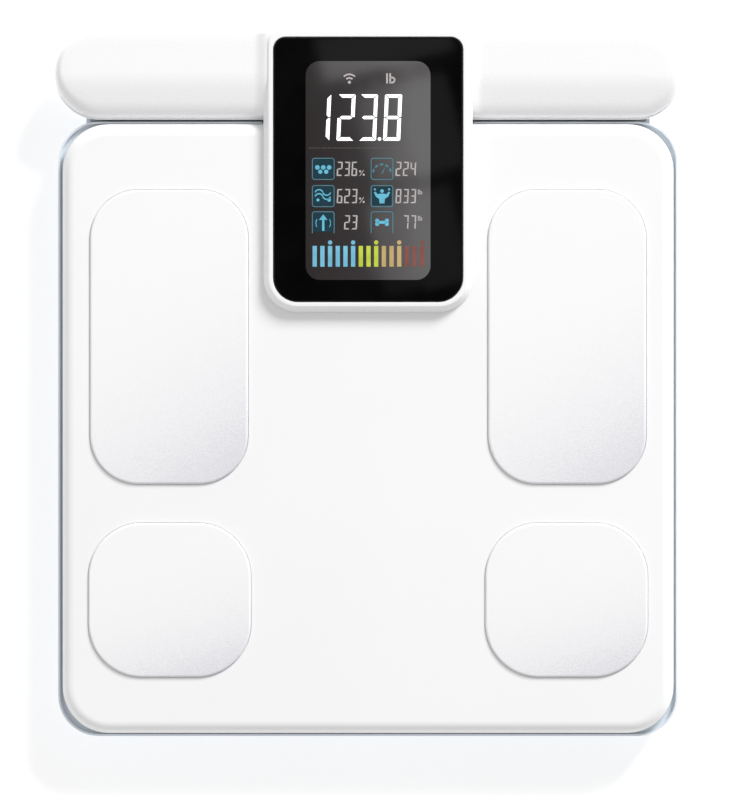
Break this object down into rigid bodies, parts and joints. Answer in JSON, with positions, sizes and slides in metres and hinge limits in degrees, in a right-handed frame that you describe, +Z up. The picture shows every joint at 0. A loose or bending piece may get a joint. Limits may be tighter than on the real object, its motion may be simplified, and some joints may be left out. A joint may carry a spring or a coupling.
{
  "type": "digital bathroom scale",
  "caption": "Low square bathroom scale with raised foot electrodes and a lift-off handle bar that carries a rectangular colour display.",
  "frame": {"origin": "on the floor, under the middle of the outline", "axes": "+Z up, +Y from the user's heels to the handle bar, +X to the user's right"},
  "size_m": [0.31, 0.35, 0.031],
  "materials": {
    "panel_white": "satin moulded ABS",
    "shell_white": "smooth satin moulded ABS",
    "base_blue_grey": "fine moulded texture",
    "electrode_satin": "bead-blasted, pale satin",
    "hand_electrode_steel": "satin",
    "black_glass": "polished, back-painted black with a smoked window",
    "lcd_glass": "smoked display glass with coloured segments",
    "backlight_white": "diffuser",
    "circuit_board": "solder mask",
    "switch_black": "moulded",
    "rubber_black": "matt",
    "foot_plastic": "moulded",
    "load_cell_steel": "ground",
    "lead_red": "PVC insulation",
    "tray_plastic": "moulded",
    "battery_jacket": "printed foil jacket",
    "contact_nickel": "nickel plate",
    "spring_steel": "blued strip",
    "magnet_nickel": "nickel plate",
    "screw_zinc": "zinc plate"
  },
  "bodies": {
    "base": {"base_screws": "screw_zinc", "base_shell": "base_blue_grey", "battery_cell_1": "battery_jacket", "battery_cell_2": "battery_jacket", "battery_cell_3": "battery_jacket", "battery_cell_4": "battery_jacket", "battery_contact_plates": "contact_nickel", "battery_springs": "contact_nickel", "battery_tray": "tray_plastic", "cable_outlet_grommet": "rubber_black", "dock_cradle": "base_blue_grey", "dock_magnets": "magnet_nickel", "electrode_contact_pins": "contact_nickel", "electrode_forefoot_left": "electrode_satin", "electrode_forefoot_right": "electrode_satin", "electrode_heel_left": "electrode_satin", "electrode_heel_right": "electrode_satin", "foot_cup_back_left": "foot_plastic", "foot_cup_back_right": "foot_plastic", "foot_cup_front_left": "foot_plastic", "foot_cup_front_right": "foot_plastic", "foot_pad_back_left": "rubber_black", "foot_pad_back_right": "rubber_black", "foot_pad_front_left": "rubber_black", "foot_pad_front_right": "rubber_black", "load_cell_back_left": "load_cell_steel", "load_cell_back_right": "load_cell_steel", "load_cell_front_left": "load_cell_steel", "load_cell_front_right": "load_cell_steel", "load_cell_holder_back_left": "foot_plastic", "load_cell_holder_back_right": "foot_plastic", "load_cell_holder_front_left": "foot_plastic", "load_cell_holder_front_right": "foot_plastic", "load_cell_lead_back_left": "lead_red", "load_cell_lead_back_right": "lead_red", "load_cell_lead_front_left": "lead_red", "load_cell_lead_front_right": "lead_red", "main_circuit_board": "circuit_board", "reel_housing": "tray_plastic", "reel_lid": "tray_plastic", "top_panel": "panel_white", "unit_switch": "switch_black"},
    "handle": {"handle_top_shell": "shell_white", "handle_bottom_shell": "shell_white", "display_lens": "black_glass", "lcd_module": "lcd_glass", "display_backlight": "backlight_white", "display_board": "circuit_board", "handle_screws": "screw_zinc", "handle_magnets": "magnet_nickel", "cord_inlet_gland": "rubber_black", "hand_electrode_finger_left": "hand_electrode_steel", "hand_electrode_finger_right": "hand_electrode_steel", "hand_electrode_thumb_left": "hand_electrode_steel", "hand_electrode_thumb_right": "hand_electrode_steel"},
    "spool": {"spool_drum": "tray_plastic", "spiral_spring": "spring_steel"},
    "battery_door": {"battery_door": "base_blue_grey"},
    "unit_button": {"unit_button": "foot_plastic"}
  },
  "joints": [
    {"name": "handle_lift", "type": "slide", "parent": "base", "child": "handle", "axis": [0, 0, 1], "range_m": [0, 0.15]},
    {"name": "spool_spin", "type": "hinge", "parent": "base", "child": "spool", "pos_m": [0, 0.078, 0.012], "axis": [0, 0, 1], "range_deg": [0, 430]},
    {"name": "battery_door_hinge", "type": "hinge", "parent": "base", "child": "battery_door", "pos_m": [0, -0.11925, 0.0065], "axis": [-1, 0, 0], "range_deg": [0, 100]},
    {"name": "unit_button_press", "type": "slide", "parent": "base", "child": "unit_button", "axis": [0, 0, 1], "range_m": [0, 0.0008], "stiffness_N_per_m": 600}
  ],
  "couplings": [
    {"joint": "spool_spin", "follows": "handle_lift", "rad_per_m": 50}
  ]
}
